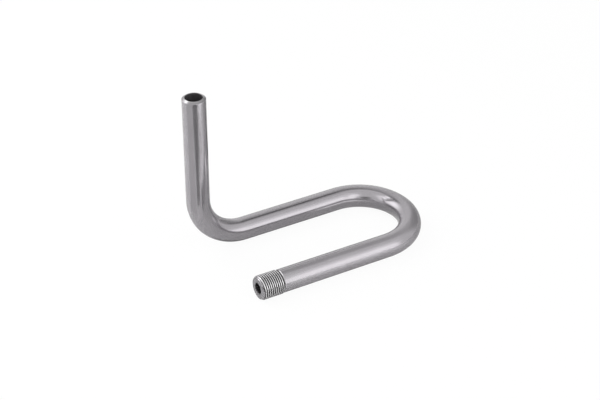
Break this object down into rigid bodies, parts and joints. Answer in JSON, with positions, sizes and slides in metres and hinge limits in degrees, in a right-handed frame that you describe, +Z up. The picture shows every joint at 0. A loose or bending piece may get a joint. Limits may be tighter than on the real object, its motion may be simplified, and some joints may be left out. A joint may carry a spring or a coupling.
{
  "type": "pressure gauge siphon",
  "caption": "U form siphon of bent stainless tube, with a male threaded end for a gauge and a plain weld end, which keeps hot steam off the gauge by a trap of condensate.",
  "frame": {"origin": "centre of the underside of the part's box, as it lies on its return bend", "axes": "+Z up along the plain leg, +X from the two open ends towards the return bend, +Y from the gauge leg towards the middle leg"},
  "size_m": [0.1976, 0.1054, 0.1505],
  "materials": {
    "tube": "polished stainless tube, long soft reflections",
    "nipple": "turned stainless, fine lathe marks"
  },
  "bodies": {
    "root": {"siphon_tube": "tube", "threaded_nipple": "nipple"}
  },
  "joints": []
}
